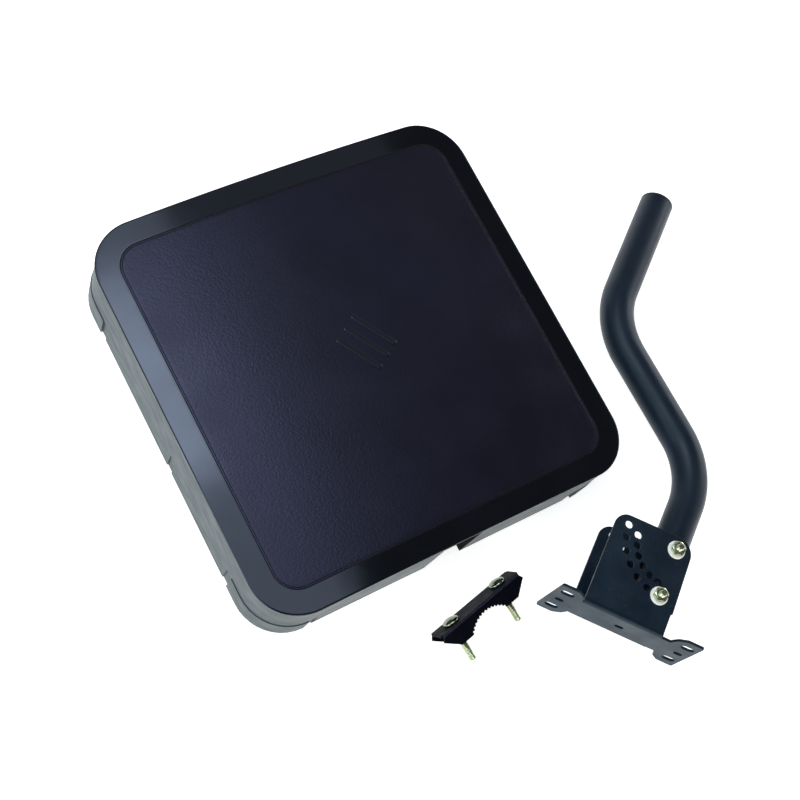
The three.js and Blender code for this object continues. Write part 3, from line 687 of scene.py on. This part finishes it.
def side_plate_loops(low):
    """Its outline, with a small step in its outer edge, and its holes. low is where the fold ends."""
    corners = [
        (SIDE_PLATE_LOW, low, 0.3), (SIDE_PLATE_HIGH, low, 0.3), (34.6, 20, 0.6), (36, 20, 0.8),
        (39.2, 90, 15), (-34.5, 88.5, 12),
    ]
    outer = [about_pivot(LOCK_RADIUS, LOCK_ANGLE - i * HOLE_STEP) for i in range(7)]
    inner = [about_pivot(INNER_HOLE_RADIUS, LOCK_ANGLE - (i + 0.5) * HOLE_STEP) for i in range(6)]
    holes = [circle_hole(p.x, p.y, CLEAR_HOLE) for p in [PIVOT, *outer, *inner]]
    return [outline(corners), *holes]


def foot_loops():
    """A narrow web between two ears. quarter is a list of (x, y, radius)."""
    web = PLATE_OUTSIDE - FOLD_RADIUS
    quarter = [
        (41.6, web, 0.4), (42.1, PLATE_OUTSIDE - 0.6, 2.2), (44.5, 25, 3), (51, EAR_HALF, 3),
        (FOOT_HALF, EAR_HALF, 2),
    ]
    right = [(x, -y, r) for x, y, r in quarter] + [(x, y, r) for x, y, r in reversed(quarter)]
    left = [(-x, y, r) for x, y, r in quarter] + [(-x, -y, r) for x, y, r in reversed(quarter)]
    slots = [slot_outline(0, 0, **FOOT_SLOT)]
    for x in (-EAR_SLOT["x"], EAR_SLOT["x"]):
        for y in (EAR_SLOT["y"], -EAR_SLOT["y"]):
            slots.append(slot_outline(x, y, EAR_SLOT["length"], EAR_SLOT["width"]))
        slots.append(slot_outline(x, 0, **EAR_MIDDLE_SLOT))
    return [outline(right + left), *[list(reversed(slot)) for slot in slots]]


def foot_bracket():
    """The foot, with the two side plates that are folded up from it."""
    shape = Shape()
    bend_top = FOLD_RADIUS - PLATE
    for side in (-1, 1):
        low, high = sorted((side * PLATE_INSIDE, side * PLATE_OUTSIDE))
        shape.plate(side_plate_loops(bend_top), low, high)
        section = [(side * w, v) for w, v in fold_section(PLATE_OUTSIDE, FOLD_RADIUS, PLATE)]
        shape.strip(section, SIDE_PLATE_LOW, SIDE_PLATE_HIGH, lambda w, v, x: (x, v, w))
    shape.plate(foot_loops(), -PLATE, 0, place=lambda x, y, z: (x, z, y))
    shape.piece("foot_bracket_folded", MOUNT, "mount_foot", "mount_paint", [LOOK["plate"]], ["foot_bracket"])


def tube_path():
    """The tube's centre line from its lower mouth to its top."""
    along = (LOCK - PIVOT).normalized()
    low = LOCK + along * TUBE_LOW_END
    line = bent_line([low, *TUBE_CORNERS, TUBE_TOP], [0, TUBE_BEND, TUBE_BEND, 0], radians(3))
    fine = [line[0]]
    for point in line[1:]:
        steps = max(1, ceil((point - fine[-1]).length / 12))
        start = fine[-1]
        fine.extend(start.lerp(point, (k + 1) / steps) for k in range(steps))
    return fine


def upright_ring(centre, ahead, radius, steps=56):
    """A ring about a point of a planar line, square to the line."""
    side = Vector((-ahead.y, ahead.x))
    ring = []
    for k in range(steps):
        a = 2 * pi * k / steps
        spot = centre + side * (radius * cos(a))
        ring.append((spot.x, spot.y, radius * sin(a)))
    return ring


def mast_tube():
    """From a stop deep inside the tube, out of its lower mouth, round the lip and up the outside."""
    line = tube_path()
    along = (line[1] - line[0]).normalized()
    bore = TUBE_RADIUS - TUBE_WALL
    lip = [
        (TUBE_MOUTH, bore), (0.5, bore), (0.15, bore + 0.1), (0, bore + 0.4), (0, TUBE_RADIUS - 0.5),
        (0.15, TUBE_RADIUS - 0.15), (0.5, TUBE_RADIUS),
    ]  # depth, radius
    rings = [upright_ring(line[0] + along * depth, along, radius) for depth, radius in lip]
    for i in range(1, len(line)):
        ahead = (line[min(i + 1, len(line) - 1)] - line[i - 1]).normalized()
        rings.append(upright_ring(line[i], ahead, TUBE_RADIUS))
    shape = Shape()
    shape.loft(rings, capped=(True, True))
    shape.piece("mast_tube_bent", MOUNT, "mast", "mount_paint", [LOOK["tube"]], ["mast_tube"])


def mast_end_cap():
    """A plug in the tube's top under a flat cap with a shallow dish."""
    up = (TUBE_TOP - TUBE_CORNERS[1]).normalized()
    turn = Matrix.Rotation(atan2(up.y, up.x) - pi / 2, 4, "Z")
    place = MOUNT @ Matrix.Translation((TUBE_TOP.x, TUBE_TOP.y, 0)) @ turn @ Matrix.Rotation(-pi / 2, 4, "X")
    plug = TUBE_RADIUS - TUBE_WALL - 0.2
    profile = [
        (plug, -10), (plug, GAP), (TUBE_RADIUS - 0.4, GAP), (TUBE_RADIUS - 0.1, GAP + 0.1),
        (TUBE_RADIUS, GAP + 0.4), (TUBE_RADIUS, CAP_THICKNESS - 0.9),
        (TUBE_RADIUS - 0.25, CAP_THICKNESS - 0.35), (TUBE_RADIUS - 0.9, CAP_THICKNESS - 0.02),
        (TUBE_RADIUS - 2.4, CAP_THICKNESS), (TUBE_RADIUS - 2.7, CAP_THICKNESS - 0.25),
        (TUBE_RADIUS - 3.4, CAP_THICKNESS - 0.3), (6, CAP_THICKNESS - 0.25), (1.2, CAP_THICKNESS - 0.2),
    ]  # radius, height
    shape = Shape()
    shape.loft([round_ring(r, z, 56) for r, z in profile], capped=(True, True))
    shape.piece("mast_end_cap_moulded", place, "mast", "black_plastic", [LOOK["black"]], ["mast_end_cap"])


def hex_nut_rings(flats, bore, height):
    lower, upper = hex_end(flats, 0, -1), hex_end(flats, height, 1)
    mouth = 0.45  # the chamfer at each end of its bore
    return [
        round_ring(bore, mouth), round_ring(bore + mouth, 0), lower[1], lower[0], upper[0], upper[1],
        round_ring(bore + mouth, height), round_ring(bore, height - mouth),
    ]


def washer_rings(bore, radius, thickness):
    edge = 0.3
    profile = [
        (bore, edge), (bore + edge, 0), (radius - edge, 0), (radius, edge), (radius, thickness - edge),
        (radius - edge, thickness), (bore + edge, thickness), (bore, thickness - edge),
    ]
    return [round_ring(r, z, 56) for r, z in profile]


def hex_bolt_rings(length):
    """Its head is below Z = 0 and its shank above."""
    fillet = 0.3
    thread_start = length - BOLT_THREAD
    lower = hex_end(NUT_FLATS, -HEX_HEAD, -1)
    rings = [round_ring(CENTRE_RADIUS, -HEX_HEAD), lower[1], lower[0], round_ring(hexagon(NUT_FLATS), 0)]
    rings += [round_ring(SHANK + fillet, 0), round_ring(SHANK, fillet), round_ring(SHANK, thread_start)]
    rings += thread_rings(thread_start + 0.2, length - POINT_CHAMFER)
    return rings + [round_ring(SHANK - POINT_CHAMFER, length), round_ring(CENTRE_RADIUS, length)]


def bolt_set(prefix, spot, body):
    """A bolt through both side plates, with its washer and nut on the upper one."""
    bolt_low = -PLATE_OUTSIDE - GAP
    washer_low = PLATE_OUTSIDE + GAP
    nut_low = washer_low + WASHER_THICKNESS + GAP
    at = lambda z, turn=0.0: MOUNT @ Matrix.Translation((spot.x, spot.y, z)) @ Matrix.Rotation(turn, 4, "Z")
    bolt, ring, nut = Shape(), Shape(), Shape()
    bolt.loft(hex_bolt_rings(2 * PLATE_OUTSIDE + BOLT_PAST_PLATES), capped=(True, True))
    bolt.piece(f"{prefix}_bolt_threaded", at(bolt_low), body, "zinc", [LOOK["zinc"]], [f"{prefix}_bolt"])
    ring.loft(washer_rings(SHANK + CLEARANCE, WASHER_RADIUS, WASHER_THICKNESS), closed=True)
    ring.piece(f"{prefix}_washer_round", at(washer_low), body, "zinc", [LOOK["washer"]], [f"{prefix}_washer"])
    nut.loft(hex_nut_rings(NUT_FLATS, SHANK + 0.1, NUT_HEIGHT), closed=True)
    nut.piece(f"{prefix}_nut_hex", at(nut_low, NUT_TURN), body, "zinc", [LOOK["zinc"]], [f"{prefix}_nut"])


foot_bracket()
mast_tube()
mast_end_cap()
bolt_set("pivot", PIVOT, "mount_foot")
bolt_set("lock", LOCK, "mast")


# ------------------------------------------------------------------ clamp
def clamp_flange_loop(top):
    """A flange's outline up to the fold, with the saw-toothed bite in its lower side."""
    centre = -CLAMP_DEPTH - sqrt(CLAMP_ARC ** 2 - CLAMP_ARC_HALF ** 2)
    half_angle = asin(CLAMP_ARC_HALF / CLAMP_ARC)
    teeth = []
    for i in range(2 * CLAMP_TEETH + 1):
        a = pi / 2 + half_angle - 2 * half_angle * i / (2 * CLAMP_TEETH)
        reach = CLAMP_ARC - (TOOTH_DEPTH if i % 2 else 0)
        teeth.append(Vector((reach * cos(a), centre + reach * sin(a))))
    right = [Vector(p) for p in ((33, -CLAMP_DEPTH), (CLAMP_TIP, -6), (CLAMP_HALF, top))]
    left = [Vector((-p.x, p.y)) for p in reversed(right)]
    return teeth + right + left


def clamp_bracket():
    """Two toothed flanges folded down from a web with square holes."""
    shape = Shape()
    section = fold_section(CLAMP_WEB_HALF, CLAMP_FOLD + 0.01, CLAMP_PLATE)
    for side in (-1, 1):
        low, high = sorted((side * (CLAMP_WEB_HALF - CLAMP_PLATE), side * CLAMP_WEB_HALF))
        shape.plate([clamp_flange_loop(-CLAMP_FOLD)], low, high, 0.15, 0.1)
        fold = [(side * w, -v - CLAMP_PLATE) for w, v in section]
        # the folds take the second look, whose lighter colour is a painted highlight
        shape.strip(fold, -CLAMP_HALF, CLAMP_HALF, lambda w, v, x: (x, v, w), 1)
    web_half = CLAMP_WEB_HALF - CLAMP_FOLD
    web_tip = CLAMP_HALF + 1.5
    shoulder = web_half - 1.2
    web = outline([
        (-CLAMP_HALF, -web_half, 0.2), (CLAMP_HALF, -web_half, 0.2),
        (web_tip, -shoulder, 1), (web_tip, shoulder, 1),
        (CLAMP_HALF, web_half, 0.2), (-CLAMP_HALF, web_half, 0.2),
        (-web_tip, shoulder, 1), (-web_tip, -shoulder, 1),
    ])
    neck = SHANK + CLEARANCE
    hole = [Vector((-neck, -neck)), Vector((-neck, neck)), Vector((neck, neck)), Vector((neck, -neck))]
    holes = [[Vector((x, 0)) + corner for corner in hole] for x in (-CLAMP_BOLT_REACH, CLAMP_BOLT_REACH)]
    shape.plate([web, *holes], -CLAMP_PLATE, 0, 0.22, 0.15, place=lambda x, y, z: (x, z, y))
    materials = [LOOK["clamp"], LOOK["clamp_fold_highlight"]]
    shape.piece("clamp_bracket_folded", CLAMP, "clamp", "clamp_paint", materials, ["clamp_bracket"])


def square(half):
    """The radius of a square with cut corners as a function of the angle."""
    return lambda a: min(half / max(abs(cos(a)), abs(sin(a)), 1e-6), half * 1.35)


def carriage_bolt(name, x, body):
    """Turned about Z and then laid along Y, with its head at +Y."""
    end = -CLAMP_BOLT_LENGTH
    thread_end = -CLAMP_BOLT_PLAIN
    neck_low = -2.9
    rim = GAP + 0.2
    dome_low = rim + 0.7
    dome_rise = rim + DOME_HEIGHT - dome_low
    rings = [round_ring(CENTRE_RADIUS, end), round_ring(SHANK - POINT_CHAMFER, end)]
    rings += thread_rings(end + POINT_CHAMFER, thread_end)
    rings += [round_ring(SHANK, thread_end + 0.4), round_ring(SHANK, neck_low - 0.3)]
    rings += [round_ring(square(SHANK), neck_low), round_ring(square(SHANK), rim)]
    shank_bands = len(rings)
    rings += [round_ring(DOME_RADIUS - 0.2, rim), round_ring(DOME_RADIUS, rim + 0.2)]
    rings += [round_ring(DOME_RADIUS, dome_low)]
    dome_steps = 12
    for i in range(1, dome_steps + 1):
        a = i / dome_steps * pi / 2
        rings.append(round_ring(max(0.3, DOME_RADIUS * cos(a)), dome_low + dome_rise * sin(a)))
    place = CLAMP @ Matrix.Translation((x, 0, 0)) @ Matrix.Rotation(-pi / 2, 4, "X")
    shape = Shape()
    finishes = [0] * shank_bands + [1] * (len(rings) - 1 - shank_bands)
    shape.loft(rings, finishes, capped=(True, True))
    shape.piece(f"{name}_threaded", place, body, "zinc", [LOOK["zinc"], LOOK["head"]], [name])


clamp_bracket()
carriage_bolt("clamp_bolt_left", -CLAMP_BOLT_REACH, "bolt_left")
carriage_bolt("clamp_bolt_right", CLAMP_BOLT_REACH, "bolt_right")


# ------------------------------------------------------------------ CAD nodes that are shown as they are
def dress(name, look, edge=0.0):
    """Gives a CAD node its material, and rounds its edges with modifiers."""
    obj = nodes[name]
    obj.data.materials.clear()
    obj.data.materials.append(LOOK[look])
    obj.data.polygons.foreach_set("use_smooth", [True] * len(obj.data.polygons))
    if "custom_normal" in obj.data.attributes:
        obj.data.attributes.remove(obj.data.attributes["custom_normal"])
    weld = obj.modifiers.new("weld", "WELD")
    weld.merge_threshold = WELD_DISTANCE
    flat = obj.modifiers.new("flat_faces", "DECIMATE")
    flat.decimate_type = "DISSOLVE"
    flat.angle_limit = radians(0.4)
    if edge:
        bevel = obj.modifiers.new("edges", "BEVEL")
        bevel.width = edge / 1000
        bevel.segments = 2
        bevel.limit_method = "ANGLE"
        bevel.angle_limit = radians(28)
        bevel.harden_normals = True


KEPT = {
    "rear_housing": ("wall", "housing", 0.5),
    "rim_gasket": ("seal", "seal", 0),
    "element_board": ("board", "board", 0.15),
    "radiator_left": ("copper", "copper", 0),
    "radiator_right": ("copper", "copper", 0),
    "reflector": ("sheet", "aluminium", 0),
    "amplifier_board": ("board", "board", 0.15),
    "shield_can": ("sheet", "aluminium", 0.2),
    "coax_connector": ("nickel", "nickel", 0.2),
    "connector_washer": ("nickel", "nickel", 0.2),
    "connector_nut": ("nickel", "nickel", 0.25),
    "feed_lead": ("black", "black_plastic", 0),
    "saddle_jaw": ("black", "black_plastic", 0.2),
    "captive_nut_left": ("zinc", "zinc", 0.25),
    "captive_nut_right": ("zinc", "zinc", 0.25),
}
for kept_name, (look, slot_name, rounding) in KEPT.items():
    dress(kept_name, look, rounding)
for kept_name in sorted(nodes):
    if kept_name.startswith("cover_screw_"):
        dress(kept_name, "zinc", 0.15)


# ------------------------------------------------------------------ studio
def studio_floor():
    """A wide pale floor with a little light of its own, so that it stays even."""
    mesh = bpy.data.meshes.new("studio_floor")
    reach = 80
    corners = [(-reach, -reach, 0), (reach, -reach, 0), (reach, reach, 0), (-reach, reach, 0)]
    mesh.from_pydata(corners, [], [(0, 1, 2, 3)])
    surface = Finish("studio_floor_matte", "f6f6f6", 0.9, specular=0.1)
    surface.shader.inputs["Emission Color"].default_value = (1, 1, 1, 1)
    surface.shader.inputs["Emission Strength"].default_value = 0.75
    mesh.materials.append(surface.material)
    obj = bpy.data.objects.new("studio_floor", mesh)
    scene.collection.objects.link(obj)


def softbox(name, spot, target, size, radiance, colour=(1, 1, 1)):
    """A rectangular light of a given radiance that faces a point."""
    width, height = size
    light = bpy.data.lights.new(name, "AREA")
    light.shape = "RECTANGLE"
    light.size, light.size_y = width, height
    light.energy = radiance * pi * width * height
    light.color = colour
    obj = bpy.data.objects.new(name, light)
    obj.location = spot
    obj.rotation_mode = "QUATERNION"
    obj.rotation_quaternion = (Vector(target) - Vector(spot)).to_track_quat("-Z", "Y")
    scene.collection.objects.link(obj)


def surroundings():
    """Pale all round near the floor and dim overhead."""
    world = bpy.data.worlds.new("studio")
    world.use_nodes = True
    scene.world = world
    tree = world.node_tree
    direction = tree.nodes.new("ShaderNodeTexCoord").outputs["Generated"]
    split = tree.nodes.new("ShaderNodeSeparateXYZ")
    tree.links.new(direction, split.inputs["Vector"])
    rise = tree.nodes.new("ShaderNodeMapRange")
    tree.links.new(split.outputs["Z"], rise.inputs["Value"])
    rise.interpolation_type = "SMOOTHSTEP"
    for key, number in (("From Min", 0.15), ("From Max", 0.62), ("To Min", 1.0), ("To Max", 0.09)):
        rise.inputs[key].default_value = number
    background = tree.nodes["Background"]
    background.inputs["Color"].default_value = (0.97, 0.98, 1, 1)
    tree.links.new(rise.outputs["Result"], background.inputs["Strength"])


def camera():
    right = Vector((0.8435, -0.4623, 0.2735))
    up = Vector((0.3624, 0.8656, 0.3455))
    back = Vector((-0.3965, -0.1923, 0.8977))
    spot = Vector((-0.56408, -0.19335, 1.1325))
    made = bpy.data.cameras.new("camera")
    made.sensor_width = 36
    made.lens = 64.5
    made.dof.use_dof = False
    made.clip_start, made.clip_end = 0.01, 100
    obj = bpy.data.objects.new("camera", made)
    obj.matrix_world = Matrix.Translation(spot) @ Matrix((right, up, back)).transposed().to_4x4()
    scene.collection.objects.link(obj)
    scene.camera = obj


def lights():
    """Three panels overhead, bright at the left, and one low at each of three sides."""
    cool, pale, cooler, warm = (0.9, 0.96, 1), (0.92, 0.96, 1), (0.84, 0.95, 1), (1, 0.96, 0.8)
    softbox("key_left", (-0.76, 0.6, 1.55), (-0.76, 0.6, 0), (1.74, 1.5), radiance=1.7, colour=cool)
    softbox("key_core", (-0.4, 0.56, 1.53), (-0.4, 0.56, 0), (0.7, 0.42), radiance=4.3, colour=cool)
    softbox("key_fade", (0.6, 0.85, 1.56), (0.6, 0.85, 0), (0.96, 1.2), radiance=0.3, colour=pale)
    softbox("side_left", (-2.2, -0.3, 1.0), (-0.2, 0, 0.05), (1.6, 1.2), radiance=3.0, colour=cooler)
    softbox("front", (-0.5, -2.2, 0.9), (0, 0, 0.05), (1.8, 1.0), radiance=3.6, colour=warm)
    softbox("right", (2.3, 0.3, 0.8), (0.1, 0, 0), (1.8, 1.0), radiance=2.4)


studio_floor()
lights()
surroundings()
camera()
scene.view_settings.view_transform = "Standard"
